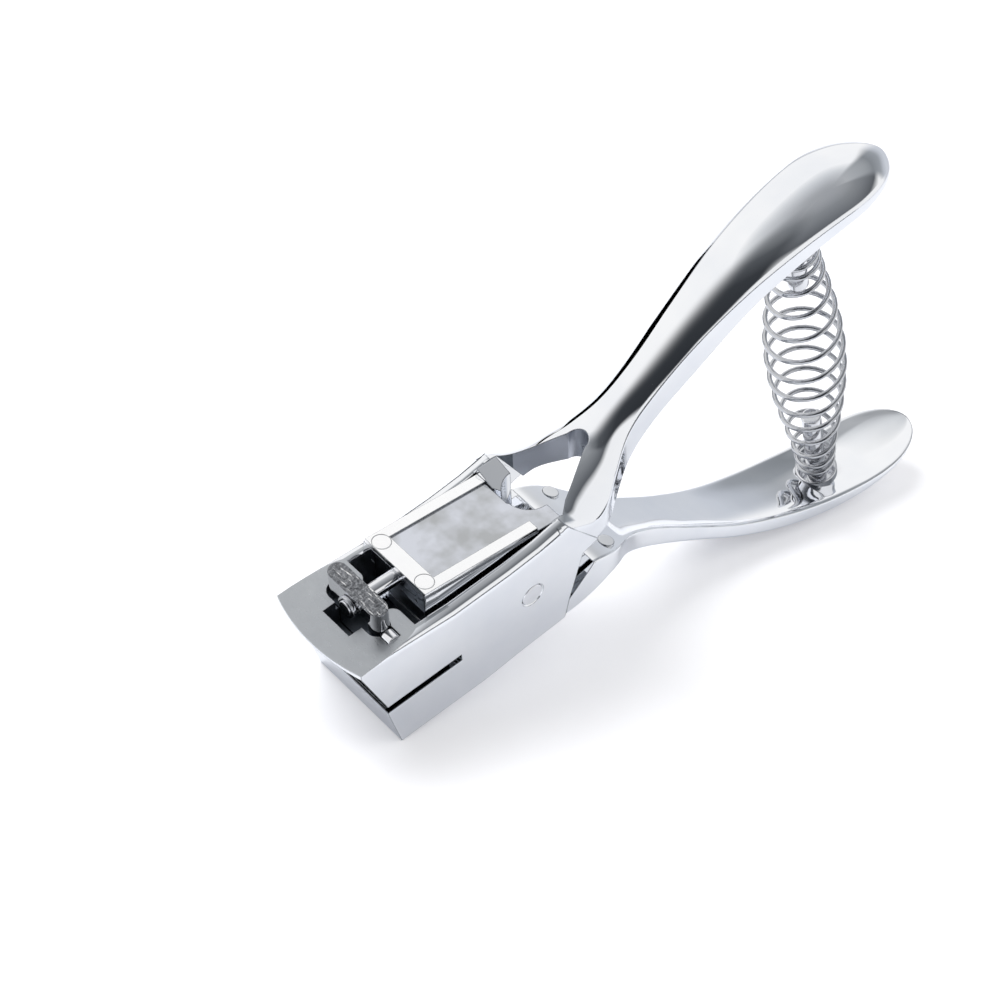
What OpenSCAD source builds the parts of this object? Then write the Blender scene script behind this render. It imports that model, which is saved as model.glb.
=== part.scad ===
// Hand punch for slots in identity cards.
// A chromed frame casting carries the upper handle, the side walls, the head and the lower jaw.
// A chromed lever turns on a pin between the walls and drives the punch down through the head.
// Lengths are in millimetres. The tool is drawn with its head level: x runs back from the nose,
// z up from the middle of the card throat and y across. stand() then sets it down on its jaw and belly.

/* [Head] */
// Width of the head, the side walls and the lever's flanks
head_w = 24.8; // [24:0.1:28]
// Height of the head's flat top above the middle of the throat
head_top = 16; // [15.5:0.1:17]
// Length of the solid head, from the nose to the open channel
head_l = 14.8; // [14.2:0.1:16]
// How far the nose bows forward in the middle
nose_bow = 2; // [1:0.1:3]
// How far the nose leans back between the top and the throat
nose_rake = 5.5; // [4.5:0.1:5.8]
// Thickness of the side walls beside the lever's arms
wall_t = 2.8; // [2.4:0.1:3.2]

/* [Throat and jaw] */
// Height of the throat that the card slides into
throat_h = 1.8; // [1.2:0.1:2.2]
// Depth of the throat from the nose
throat_d = 23.2; // [20:0.1:24]
// Depth of the jaw's underside below the middle of the throat
jaw_z = 12.5; // [12:0.1:14]
// Set-back of the jaw's front at the throat
jaw_front = 5; // [4.6:0.1:5.4]
// Set-back of the jaw's front at its underside
jaw_toe = 7.5; // [6.5:0.1:8.5]
// Thickness of the floor between the walls behind the jaw
floor_t = 2; // [1.6:0.1:2.2]

/* [Punch] */
// Distance of the punch from the nose
punch_x = 9.8; // [9.7:0.1:10]
// Length of the cutting end across the head
blade_l = 15; // [14:0.1:15.4]
// Thickness of the cutting end
blade_t = 3; // [2.6:0.1:3.2]
// Length of the punch body across the head
body_l = 15.5; // [15.4:0.1:16]
// Thickness of the punch body
body_t = 4; // [3.8:0.1:4.2]
// Height of the punch's top above the throat at rest
punch_top = 21.6; // [21:0.1:22]
// Height of the cutting edge above the throat at rest
blade_z = 2.3; // [2:0.1:2.5]
// Height of the shoulder between the body and the cutting end at rest
shoulder_z = 9; // [8.8:0.1:10]
// Running clearance round the punch
punch_gap = 0.1; // [0.05:0.01:0.15]

/* [Drive pin] */
// Diameter of the rod that drives the punch
rod_d = 3.2; // [2.8:0.1:3.4]
// Height of the rod above the throat where it crosses the punch
rod_z = 18.3; // [18:0.1:18.5]
// Upward pitch of the rod towards the nose at rest, in degrees
rod_pitch = 4.5; // [4:0.5:5]
// Free height above and below the rod in the punch's hole
rod_play = 0.4; // [0.35:0.05:0.6]
// Depth of the rod's seat in the lever's crossbar
rod_seat = 3; // [2:0.1:4]
// Outer diameter of the retaining ring on the rod
ring_d = 4.6; // [4.2:0.1:5]
// Thickness of the retaining ring
ring_t = 0.8; // [0.6:0.1:1]
// Half the width of the notches that the rod and ring drop into
notch_w = 3.9; // [3.6:0.1:4.2]
// Radius of the ears beside the rear notch
ear_r = 2; // [1:0.1:2.5]
// Set-back of the front notch from the nose
notch_x = 4.1; // [3.8:0.1:4.3]
// Height of the floor of the notches
notch_z = 9.2; // [8.8:0.1:9.6]

/* [Guide pin] */
// Diameter of the short pin beside the punch
guide_d = 3.2; // [2.8:0.1:3.6]
// Length of the short pin
guide_l = 2.3; // [1.8:0.1:2.6]
// How far the short pin stands above the head
guide_proud = 0.7; // [0.3:0.1:1]

/* [Die] */
// Length of the die plate along the jaw
die_l = 11; // [10.6:0.1:12]
// Width of the die plate across the jaw
die_w = 18.4; // [18:0.1:19]
// Thickness of the die plate
die_t = 3.5; // [3:0.1:4]
// Distance of the die plate from the nose
die_x = 6.9; // [6.7:0.1:7.1]
// Cutting clearance between the blade and the die
die_gap = 0.06; // [0.04:0.01:0.1]
// Spacing of the two die screws across the jaw
screw_pitch = 11; // [10:0.5:12]
// Diameter of the die screws
screw_d = 3; // [2.5:0.1:3]
// Diameter of the die screws' heads
screw_head_d = 5.4; // [5:0.1:5.6]
// Height of the die screws' heads
screw_head_h = 2.4; // [2:0.1:3]

/* [Pivot] */
// Distance of the pivot from the nose
pivot_x = 41.2; // [41:0.1:41.6]
// Height of the pivot above the throat
pivot_z = 3.4; // [3:0.1:3.8]
// Diameter of the pivot pin
pivot_d = 4.8; // [4:0.1:5.5]
// Radial running clearance of the lever on the pin
pivot_gap = 0.05; // [0.03:0.01:0.08]
// Outer diameter of the thrust washers
washer_d = 10; // [8:0.1:11]
// Thickness of the thrust washers
washer_t = 0.4; // [0.3:0.05:0.5]
// Free play beside each thrust washer
washer_gap = 0.05; // [0.03:0.01:0.08]

/* [Lever front] */
// Pitch of the lever's arms at rest, in degrees
arm_tilt = 8.1; // [7.5:0.1:8.5]
// Height of the U plate's top above the pivot, square to the arms
plate_w = 13.85; // [13.6:0.05:14.2]
// Reach of the U plate in front of the pivot
plate_reach = 24.8; // [24:0.1:25]
// Reach of the U plate's arms behind the pivot
plate_back = 2.9; // [2:0.1:3.2]
// Overall width of the U plate
plate_span = 17.6; // [17:0.1:18]
// Width of the U plate's crossbar
plate_bar = 4; // [3.6:0.1:4.4]
// Width of the U plate's arms
plate_arm = 2.4; // [2:0.1:2.8]
// Thickness of the U plate
plate_t = 1; // [0.8:0.1:1.2]
// Distance of each rivet from the side of the U plate
rivet_inset = 2.55; // [2.3:0.05:2.8]
// Diameter of the rivets
rivet_d = 3.8; // [3:0.1:3.9]
// Length of the rivets
rivet_l = 4; // [3:0.1:5]
// Depth of the lever's top between the arms, below the U plate's top
pocket_d = 0.45; // [0.3:0.05:0.6]
// Radius of the round notch at the back of the lever's web
web_notch_r = 4.9; // [4.5:0.1:5.2]
// Distance of that notch's round end behind the pivot
web_notch_x = 4.9; // [4.5:0.1:5.5]
// Gap between the web's back and the step in the branches
web_gap = 0.8; // [0.7:0.1:1.2]

/* [Handles] */
// Half the width of the upper handle at its waist
upper_waist = 5; // [4.5:0.1:5.5]
// Half the width of the upper handle at the grip
upper_grip = 8.8; // [8:0.1:9.4]
// Distance of the upper handle's tail from the nose
upper_tail = 144; // [142:0.5:150]
// Half the width of the lower handle at its waist
lower_waist = 5.5; // [5:0.1:6]
// Half the width of the lower handle at the grip
lower_grip = 8.9; // [8:0.1:9.5]
// Distance of the lower handle's tail from the nose
lower_tail = 160; // [156:0.5:163]
// Length over which each tail rounds off
tail_round = 16; // [12:0.5:17]
// Crown of each grip above its edges
crown = 3.4; // [2.8:0.1:3.8]
// Depth of the shallow hollow on the inner side of each handle
dish = 0.8; // [0.4:0.1:0.9]
// Distance from the nose at which the lower handle's hollow begins
hollow_from = 68.7; // [66:0.1:71]

/* [Fork window] */
// Distance from the nose at which the window is as wide as the lever's channel
window_from = 51.5; // [50:0.1:52]
// Half the width of the window where its sides bend
window_w = 7.6; // [7:0.1:8]
// Distance from the nose at which the window's sides bend
window_bend_x = 54; // [53.5:0.1:55]
// Radius of the window's back end
window_r = 2.4; // [2:0.1:3]
// Distance of the window's back end from the nose
window_x = 66; // [65:0.1:66.5]

/* [Return spring] */
// Diameter of the spring wire
wire_d = 1.1; // [0.9:0.05:1.2]
// Outer diameter of the spring at its ends
coil_end_d = 8.6; // [8.4:0.1:9]
// Outer diameter of the spring at its middle
coil_mid_d = 17.2; // [16:0.1:18]
// Number of turns
turns = 17; // [16:1:18]
// Turns that lie close together at the lower end
close_low = 0.5; // [0:0.5:1.5]
// Turns that lie close together at the upper end
close_top = 3.5; // [2.5:0.5:4]
// Turns over which the pitch opens up from close to wide
opening = 2.8; // [2:0.2:3.4]
// Pitch of the wide turns, as a multiple of the pitch of the close ones
pitch_ratio = 3; // [2.4:0.1:3.2]
// Distance of the spring's upper seat from the nose
seat_top_x = 119.9; // [118:0.1:121]
// Distance of the spring's lower seat from the nose
seat_low_x = 132; // [130:0.1:133]
// Diameter of the spring posts
post_d = 4.3; // [3.8:0.1:4.6]
// Length of the upper post below its seat
upper_post_l = 19.5; // [17:0.5:21]
// Length of the lower post above its collar
lower_post_l = 19.5; // [17:0.5:22]
// Diameter of the collar at the lower seat
collar_d = 9; // [8.8:0.1:9.6]
// Height of the collar above the lower handle
collar_h = 2.4; // [2:0.1:3]
// Diameter of the upper seat washer
seat_d = 10; // [9.6:0.1:10.6]
// Thickness of the upper seat washer
seat_t = 1; // [0.8:0.1:1.2]

/* [Hidden] */

chrome = "silver";
steel = "lightgray";
tool_steel = "gray";

half_w = head_w / 2;
inner_w = half_w - wall_t;
lever_w = inner_w - washer_t - 2 * washer_gap;
throat_top = throat_h / 2;
through = 60;        // longer than anything that is cut
seam = 0.1;          // gap left between the lever's stop and the frame
skin = 0.05;         // how far the lofted branches lie inside the flat walls

// Side view of the walls, between the head and the V-shaped gap
wall_seam = [49.1, -11];
wall_apex = [50.2, -6.4];
wall_ear = [54, 5.2];
wall_heel = [58, 6.4];
wall_rise = [50, 17.2];
step_top = [51, 18];
step_low = [56.3, 8.8];

// Side view of the lever's flank, across the V-shaped gap, and of its body between the walls
flank_ear = [57, -0.4];
shelf_z = 1.4;
lever_under = [[18, 11.6], [24, 8.6], [30, 3], [36, -3.2], [43, -8.5]];

// Each handle as stations along its length:
// x, height of the edge, half width, crown, depth of the side, hollow of the inner face
upper_stations = [
    [46, 16.2, half_w - skin, 0.2, 4, 0],
    [50, 16.4, half_w - skin, 1.8, 4, 0],
    [54, 13.6, half_w - skin, 5.6, 7, 3.5],
    [58, 11.5, half_w - 0.3, 8.3, 5.2, 6],
    [62, 12.4, 11, 8, 6, 6.2],
    [66, 15.2, 8.6, 6, 7.6, 5],
    [72, 20, upper_waist + 0.7, 4, 8, dish + 1.4],
    [79, 24.9, upper_waist, crown - 0.3, 7.4, dish],
    [90, 32.4, upper_waist + 0.6, crown - 0.4, 7.6, dish],
    [102, 38.9, mix(upper_waist, upper_grip, 0.5), crown - 0.1, 5.6, dish],
    [114, 42.8, mix(upper_waist, upper_grip, 0.8), crown, 4.4, dish],
    [126, 44.8, upper_grip, crown, 3.4, dish],
    [136, 44.7, upper_grip, crown, 2.8, dish],
    [upper_tail, 43.3, upper_grip, crown, 2.4, dish]];
lower_stations = [
    [44, 1, half_w - skin, 0.3, 9.8, dish],
    [50, 0.6, half_w - skin, 0.4, 11.2, dish],
    [57, -0.4, half_w - skin, 0.6, 9.2, dish],
    [61, -2.1, half_w - 0.5, 0.9, 6.9, dish],
    [65, -4.6, 10.6, 1.3, 5.3, dish],
    [69, -7.6, 8.3, 1.8, 5.1, dish],
    [74, -11.6, 6.3, 2.2, 5.6, dish],
    [80, -16.3, lower_waist + 0.1, 2.5, 5.4, dish],
    [90, -24.4, lower_waist + 0.4, 2.7, 4.3, dish],
    [102, -33.2, mix(lower_waist, lower_grip, 0.42), crown - 0.4, 3.9, dish],
    [114, -39.7, mix(lower_waist, lower_grip, 0.72), crown - 0.2, 3.9, dish],
    [126, -44.7, lower_grip - 0.2, crown, 3.5, dish],
    [138, -48.2, lower_grip, crown, 2.8, dish],
    [148, -49.6, lower_grip, crown - 0.3, 1.4, dish],
    [lower_tail, -50.6, lower_grip, crown - 0.6, 0.8, dish]];
lip = 0.86;          // the hollow starts at this share of the half width
inner_points = [-1, -lip, -0.7, -0.4, 0, 0.4, 0.7, lip, 1];
rings_per_mm = 0.42;
crown_steps = 9;
hollow_run = 1.2;    // length over which the lower handle's hollow begins

function mix(a, b, t) = a + (b - a) * t;
function ease(t) = let (u = min(1, max(0, t))) u * u * (3 - 2 * u);

// Smooth curve through column c of a list of stations, at distance x
function slope_at(s, c, i) =
    let (a = s[max(0, i - 1)], b = s[min(len(s) - 1, i + 1)]) (b[c] - a[c]) / (b[0] - a[0]);
function span_of(s, x, i = 0) = i >= len(s) - 2 || x < s[i + 1][0] ? i : span_of(s, x, i + 1);
function along(s, c, x) =
    let (i = span_of(s, x), a = s[i], b = s[i + 1], d = b[0] - a[0], u = (x - a[0]) / d)
    a[c] * (2 * u ^ 3 - 3 * u ^ 2 + 1) + b[c] * (3 * u ^ 2 - 2 * u ^ 3)
    + slope_at(s, c, i) * d * (u ^ 3 - 2 * u ^ 2 + u) + slope_at(s, c, i + 1) * d * (u ^ 3 - u ^ 2);

// Rounding of a tail: 1 before it starts, 0 at its end
function rounding(x, tail) = let (u = max(0, (x - tail + tail_round) / tail_round)) sqrt(max(0, 1 - u * u));

// Distances of the sections of a handle, closer together where its hollow starts and at the tail's end
function section_xs(s, tail, hollow_x) =
    let (start = s[0][0], body = tail - tail_round, n = round((body - start) * rings_per_mm),
        even = [for (i = [0 : n - 1]) mix(start, body, i / n)])
    concat([for (x = even) if (x < hollow_x - 0.5) x],
        [for (i = [0 : 2]) if (hollow_x > start) hollow_x + i * hollow_run / 2],
        [for (x = even) if (x > hollow_x + hollow_run + 0.5) x],
        [for (i = [0 : 8]) body + tail_round * sin(i * 10.9)]);

// One section of a handle. side = 1 crowns it upwards and side = -1 downwards; the hollow is opposite.
function section(s, x, tail, side, hollow_x) =
    let (r = rounding(x, tail), w = along(s, 2, x) * r, edge = along(s, 1, x),
        rise = along(s, 3, x) * r ^ 0.8, deep = along(s, 4, x) * mix(0.45, 1, r),
        hollow = along(s, 5, x) * ease((x - hollow_x) / hollow_run) * r,
        crown_edge = side > 0 ? edge : edge - deep, inner_edge = side > 0 ? edge - deep : edge)
    concat(
        [for (i = [0 : crown_steps]) let (y = w * cos(180 * i / crown_steps))
            [x, y, crown_edge + side * rise * (1 - abs(y / max(w, 0.01)) ^ 2.2)]],
        [for (k = inner_points)
            [x, w * k, inner_edge + side * hollow * max(0, 1 - abs(k / lip) ^ 4)]]);

// Solid through a list of sections of equally many points
module loft(sections, flip) {
    n = len(sections[0]);
    rows = len(sections);
    sides = [for (i = [0 : rows - 2], j = [0 : n - 1])
        let (a = i * n + j, b = i * n + (j + 1) % n, c = b + n, d = a + n)
        each [[a, b, c], [a, c, d]]];
    caps = [for (j = [1 : n - 2]) each [[0, j + 1, j], [(rows - 1) * n, (rows - 1) * n + j, (rows - 1) * n + j + 1]]];
    faces = concat(sides, caps);
    polyhedron([for (s = sections) each s], flip ? [for (f = faces) [f[2], f[1], f[0]]] : faces);
}

module handle(s, tail, side, hollow_x) {
    loft([for (x = section_xs(s, tail, hollow_x)) section(s, x, tail, side, hollow_x)], side > 0);
}

// Height of the lower handle's belly, which the tool rests on
function belly(x) = along(lower_stations, 1, x)
    - (along(lower_stations, 4, x) * mix(0.45, 1, rounding(x, lower_tail)))
    - along(lower_stations, 3, x) * sqrt(rounding(x, lower_tail));
belly_xs = [for (x = [110 : 0.5 : lower_tail - 1]) x];
rest_pitch = max([for (x = belly_xs) atan2(-jaw_z - belly(x), x - jaw_toe)]);
rest_lift = -(jaw_toe * sin(rest_pitch) - jaw_z * cos(rest_pitch));
front_x = -nose_bow * cos(rest_pitch) - head_top * sin(rest_pitch);
back_x = max([for (x = section_xs(lower_stations, lower_tail, hollow_from)) each
    [for (p = section(lower_stations, x, lower_tail, -1, hollow_from))
        x * cos(rest_pitch) - p[2] * sin(rest_pitch)]]);

// Sets the tool down on its jaw and the belly of the lower handle, over the middle of its length
module stand() {
    translate([-(front_x + back_x) / 2, 0, rest_lift]) rotate([0, -rest_pitch, 0]) children();
}

// Plan shape with round ends, long across the head
module slot_shape(l, t) {
    square([t, l - t], center = true);
    for (side = [-1, 1]) translate([0, side * (l - t) / 2]) circle(d = t, $fn = 48);
}

module slot_block(l, t, z0, z1) {
    translate([punch_x, 0, z0]) linear_extrude(z1 - z0) slot_shape(l, t);
}

// Side-view outline in x and z, given thickness across the tool
module side_plate(points, w) {
    translate([0, w / 2, 0]) rotate([90, 0, 0]) linear_extrude(w) polygon(points);
}

// Places children in the lever's own frame: x forward of the pivot is negative, z square to its arms
module on_arms() {
    translate([pivot_x, 0, pivot_z]) rotate([0, arm_tilt, 0]) children();
}

// Places children along the rod: z runs from the rod's crossing of the punch towards the nose
module on_rod() {
    translate([punch_x, 0, rod_z]) rotate([0, rod_pitch - 90, 0]) children();
}

module across(d, w) {
    rotate([90, 0, 0]) cylinder(d = d, h = w, center = true, $fn = 64);
}

module frame_plan() {
    bow_r = (half_w ^ 2 + nose_bow ^ 2) / (2 * nose_bow);
    intersection() {
        translate([-nose_bow, -half_w]) square([through, head_w]);
        translate([bow_r - nose_bow, 0]) circle(r = bow_r, $fn = 256);
    }
}

module walls_and_jaw() {
    lean = nose_rake / head_top;
    intersection() {
        translate([0, 0, -jaw_z]) linear_extrude(jaw_z + through) frame_plan();
        side_plate([[-nose_bow - 0.5, head_top], [-nose_bow - 0.5, head_top - 0.6], [0, head_top - 1.2],
            [nose_rake, 0], [jaw_front + lean, 0], [jaw_front, -throat_top], [jaw_toe, -jaw_z], [28.9, -jaw_z],
            [37.4, 0.8 - jaw_z], wall_seam, wall_apex, wall_ear, wall_heel, wall_rise,
            [43.4, head_top], [36, head_top - 0.5], [22.4, head_top - 0.6], [head_l, head_top]], head_w);
    }
}

// Room for the lever between the walls
module lever_channel() {
    side_plate([[throat_d + 2.8, through], [throat_d + 2.8, floor_t - jaw_z], [wall_seam[0] + 12, floor_t - jaw_z],
        [wall_heel[0] + 6, wall_heel[1]], step_low, step_top + (step_top - step_low) * 3], 2 * inner_w);
    side_plate([[head_l, through], [head_l, -throat_top], [throat_d, -throat_top], [throat_d, 2],
        [throat_d + 3, 2], [throat_d + 3, through]], 2 * inner_w);
}

module fork_window() {
    taper_x = window_x - window_r;
    translate([0, 0, -jaw_z]) linear_extrude(through + jaw_z) {
        polygon([[45, -inner_w], [window_from, -inner_w], [window_bend_x, -window_w], [taper_x, -window_r],
            [taper_x, window_r], [window_bend_x, window_w], [window_from, inner_w], [45, inner_w]]);
        translate([taper_x, 0]) circle(r = window_r, $fn = 48);
    }
}

// Plan of what is rounded off the head's two ears beside the rear notch
module ear_corners() {
    for (side = [-1, 1]) scale([1, side]) difference() {
        translate([0, notch_w]) square(ear_r + 0.01);
        translate([0, notch_w + ear_r]) circle(r = ear_r, $fn = 48);
    }
}

guide_axis_z = head_top + guide_proud - guide_d / 2;
guide_start = body_l / 2 + punch_gap;

module frame() {
    color(chrome) difference() {
        union() {
            walls_and_jaw();
            handle(upper_stations, upper_tail, 1, 0);
        }
        lever_channel();
        fork_window();
        // card throat
        translate([-nose_bow - 1, -half_w - 1, -throat_top]) cube([throat_d + nose_bow + 1, head_w + 2, throat_h]);
        // guide for the punch, wide above and close at the cutting end
        slot_block(body_l + 2 * punch_gap, body_t + 2 * punch_gap, shoulder_z - 5.4, through);
        slot_block(blade_l + 2 * punch_gap, blade_t + 2 * punch_gap, -throat_top, shoulder_z);
        // notches for the rod and its ring
        translate([notch_x, -notch_w, notch_z]) cube([head_l + 1 - notch_x, 2 * notch_w, through]);
        translate([head_l - ear_r, 0, notch_z]) linear_extrude(through) ear_corners();
        // groove for the short pin
        translate([punch_x, -guide_start, guide_axis_z]) rotate([90, 0, 0])
            cylinder(d = guide_d, h = guide_l, $fn = 48);
        translate([punch_x - guide_d / 2, -guide_start - guide_l, guide_axis_z]) cube([guide_d, guide_l, 5]);
        // seat of the die plate, its screws and the hole for the chips
        translate([die_x, -die_w / 2, -throat_top - die_t]) cube([die_l, die_w, die_t + 0.5]);
        slot_block(blade_l + 1.6, blade_t + 1.6, -through, 0);
        die_screw_places() {
            translate([0, 0, -through]) cylinder(d = screw_d, h = through - throat_top, $fn = 32);
            translate([0, 0, -through]) cylinder(d = screw_head_d, h = through - jaw_z + screw_head_h + 0.4, $fn = 32);
        }
        // pivot
        translate([pivot_x, 0, pivot_z]) across(pivot_d, through);
        // upper post's hole
        on_spring() translate([0, 0, spring_l]) cylinder(d = post_d, h = seat_t + post_root, $fn = 40);
        // flat under the upper seat washer
        on_spring() translate([0, 0, spring_l - 4]) cylinder(d = seat_d, h = seat_t + 4, $fn = 48);
    }
}

module die_screw_places() {
    for (side = [-1, 1])
        translate([die_x + die_l - 2.6, side * screw_pitch / 2, 0]) children();
}

module die_plate() {
    color(tool_steel) difference() {
        translate([die_x, -die_w / 2, -throat_top - die_t]) cube([die_l, die_w, die_t]);
        slot_block(blade_l + 2 * die_gap, blade_t + 2 * die_gap, -through, 0);
        die_screw_places() translate([0, 0, -through])
            cylinder(d = screw_d, h = through - throat_top - 1, $fn = 32);
    }
}

module die_screws() {
    color(steel) die_screw_places() {
        translate([0, 0, -jaw_z + screw_head_h]) cylinder(d = screw_d, h = jaw_z - screw_head_h - throat_top - 1, $fn = 32);
        difference() {
            translate([0, 0, 0.4 - jaw_z]) cylinder(d = screw_head_d, h = screw_head_h, $fn = 32);
            translate([0, 0, 0.3 - jaw_z]) cylinder(d = 2.9, h = 1.4, $fn = 6);
        }
    }
}

module guide_pin() {
    color(steel) translate([punch_x, -guide_start, guide_axis_z]) rotate([90, 0, 0])
        cylinder(d = guide_d, h = guide_l, $fn = 48);
}

module pivot_pin() {
    color(steel) translate([pivot_x, 0, pivot_z]) across(pivot_d, head_w);
}

module pivot_washers() {
    color(steel) for (side = [-1, 1])
        translate([pivot_x, side * (inner_w - washer_gap - washer_t / 2), pivot_z]) difference() {
            across(washer_d, washer_t);
            across(pivot_d, washer_t + 1);
        }
}

module punch() {
    hole_h = rod_d + 2 * rod_play;
    color(tool_steel) difference() {
        union() {
            slot_block(body_l, body_t, shoulder_z, punch_top);
            slot_block(blade_l, blade_t, blade_z, shoulder_z);
        }
        // upright hole for the rod
        translate([punch_x, 0, rod_z]) rotate([0, 90, 0]) linear_extrude(through, center = true) {
            square([hole_h - rod_d, rod_d + 0.2], center = true);
            for (side = [-1, 1]) translate([side * (hole_h - rod_d) / 2, 0]) circle(d = rod_d + 0.2, $fn = 48);
        }
    }
}

module lever() {
    pocket_w = plate_span / 2 - plate_arm;
    notch_back = pivot_x + web_notch_x + web_notch_r;
    color(chrome) difference() {
        union() {
            // arms, crossbar and hub between the walls
            difference() {
                side_plate(concat(lever_under, [wall_seam + [0.6, 0.8], [56, -6], [56, 14], [52, 17], [44, 20],
                    [18.2, 20.6]]), 2 * lever_w);
                on_arms() translate([-through, -through, plate_w - pocket_d]) cube([2 * through, 2 * through, 20]);
                on_arms() translate([-plate_reach - 10, -through, 0]) cube([10, 2 * through, 20]);
                // back of the web, parallel to the step in the branches
                side_plate([step_top + (step_top - step_low) * 3 - [web_gap, 0], step_low - [web_gap, 0],
                    [step_low[0] - web_gap, shelf_z], [80, shelf_z], [80, 40]], through);
                // round notch in the back of the web, open to the rear
                translate([0, 0, 1.2]) linear_extrude(through) {
                    translate([notch_back, 0]) circle(r = web_notch_r, $fn = 64);
                    polygon([[notch_back, -web_notch_r], [60, -web_notch_r - 1.6], [60, web_notch_r + 1.6],
                        [notch_back, web_notch_r]]);
                }
            }
            // neck, flanks and handle, behind the seam and the V-shaped gap
            difference() {
                handle(lower_stations, lower_tail, -1, hollow_from);
                side_plate([wall_seam + [seam, -10], wall_seam + [seam, 0], wall_apex + [seam, 0], flank_ear,
                    flank_ear + [0, 10], [30, 20], [30, -20]], through);
            }
        }
        // seat of the U plate, which stands proud of the lever's top
        on_arms() difference() {
            translate([-plate_reach - 10, -through, plate_w - plate_t])
                cube([plate_reach + 10 + plate_back, 2 * through, 20]);
            translate([-plate_reach + plate_bar, -pocket_w, 0]) cube([2 * through, 2 * pocket_w, 40]);
        }
        // seats of the rivets
        on_arms() rivet_places() translate([0, 0, plate_w - rivet_l]) cylinder(d = rivet_d, h = 20, $fn = 40);
        // seat of the rod
        on_rod() translate([0, 0, -rod_back]) cylinder(d = rod_d, h = rod_back + 30, $fn = 40);
        // pivot
        translate([pivot_x, 0, pivot_z]) across(pivot_d + 2 * pivot_gap, through);
        // lower post's hole
        on_spring() translate([0, 0, -collar_h - post_root]) cylinder(d = post_d, h = post_root + 1, $fn = 40);
        // flat under the collar
        on_spring() translate([0, 0, -collar_h]) cylinder(d = collar_d, h = 12, $fn = 48);
    }
}

// Distance from the punch back to the blind end of the rod's seat
rod_back = pivot_x - punch_x - plate_reach + 2.4 + rod_seat;
rod_front = body_t / 2 + 0.3 + ring_t + 0.3;

module rivet_places() {
    for (side = [-1, 1])
        translate([-plate_reach + plate_bar / 2, side * (plate_span / 2 - rivet_inset), 0]) children();
}

module lever_plate() {
    color("white") on_arms() difference() {
        translate([-plate_reach, -plate_span / 2, plate_w - plate_t])
            cube([plate_reach + plate_back, plate_span, plate_t]);
        translate([-plate_reach + plate_bar, plate_arm - plate_span / 2, plate_w - 5])
            cube([through, plate_span - 2 * plate_arm, 10]);
        rivet_places() translate([0, 0, plate_w - 5]) cylinder(d = rivet_d, h = 10, $fn = 40);
    }
}

module plate_rivets() {
    color(steel) on_arms() rivet_places() translate([0, 0, plate_w - rivet_l])
        cylinder(d = rivet_d, h = rivet_l, $fn = 40);
}

module drive_pin() {
    color(steel) on_rod() translate([0, 0, -rod_back]) difference() {
        cylinder(d = rod_d, h = rod_back + rod_front, $fn = 40);
        // groove that holds the retaining ring
        translate([0, 0, rod_back + body_t / 2 + 0.3]) difference() {
            cylinder(d = rod_d + 1, h = ring_t, $fn = 40);
            translate([0, 0, -1]) cylinder(d = rod_d - 0.6, h = ring_t + 2, $fn = 40);
        }
    }
}

module drive_pin_ring() {
    color(steel) on_rod() translate([0, 0, body_t / 2 + 0.3]) difference() {
        cylinder(d = ring_d, h = ring_t, $fn = 40);
        translate([0, 0, -1]) cylinder(d = rod_d - 0.6, h = ring_t + 2, $fn = 40);
    }
}

// Spring axis, from the lower seat up to the upper seat
seat_low = [seat_low_x, along(lower_stations, 1, seat_low_x) - dish + collar_h];
seat_top = [seat_top_x, along(upper_stations, 1, seat_top_x) - along(upper_stations, 4, seat_top_x) - 0.2];
spring_lean = atan2(seat_low[0] - seat_top[0], seat_top[1] - seat_low[1]);
spring_l = norm(seat_top - seat_low);
post_root = 2.4;

// Places children on the spring's axis: z runs up from the lower seat
module on_spring() {
    translate([seat_low[0], 0, seat_low[1]]) rotate([0, -spring_lean, 0]) children();
}

module upper_spring_post() {
    color(steel) on_spring() translate([0, 0, spring_l - upper_post_l])
        cylinder(d = post_d, h = upper_post_l + seat_t + post_root, $fn = 40);
}

module upper_spring_seat() {
    color(steel) on_spring() translate([0, 0, spring_l]) difference() {
        cylinder(d = seat_d, h = seat_t, $fn = 48);
        translate([0, 0, -1]) cylinder(d = post_d, h = seat_t + 2, $fn = 40);
    }
}

module lower_spring_post() {
    color(steel) on_spring() translate([0, 0, -collar_h - post_root])
        cylinder(d = post_d, h = collar_h + post_root + lower_post_l, $fn = 40);
}

module lower_spring_collar() {
    color(steel) on_spring() translate([0, 0, -collar_h]) difference() {
        cylinder(d = collar_d, h = collar_h, $fn = 48);
        translate([0, 0, -1]) cylinder(d = post_d, h = collar_h + 2, $fn = 40);
    }
}

// Pitch of the turns after n turns, in units of the close pitch
function pitch_at(n) = 1 + (pitch_ratio - 1) * ease((n - close_low) / opening)
    * ease((turns - close_top - n) / opening);
coil_rings = 8;
coil_steps = turns * coil_rings;
raw_heights = [for (i = 0, h = 0; i <= coil_steps; h = h + pitch_at((i + 0.5) / coil_rings), i = i + 1) h];
coil_room = spring_l - 2 * (wire_d * 1.5);
function coil_h(i) = wire_d * 1.5 + raw_heights[i] / raw_heights[coil_steps] * coil_room;
function coil_r(i) = let (s = raw_heights[i] / raw_heights[coil_steps])
    (mix(coil_end_d, coil_mid_d, abs(sin(180 * s)) ^ 1.5) - wire_d) / 2;
coil_points = [for (i = [0 : coil_steps]) let (a = i * 360 / coil_rings)
    [coil_r(i) * cos(a), coil_r(i) * sin(a), coil_h(i)]];
spring_path = concat([[coil_r(0), 0, 0], [coil_r(0), 0, wire_d]], coil_points,
    [coil_points[coil_steps] + [0, 0, wire_d * 0.5], coil_points[coil_steps] + [0, 0, wire_d * 1.5]]);
function unit(v) = v / norm(v);
function heading(p, i) = unit(p[min(len(p) - 1, i + 1)] - p[max(0, i - 1)]);

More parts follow.
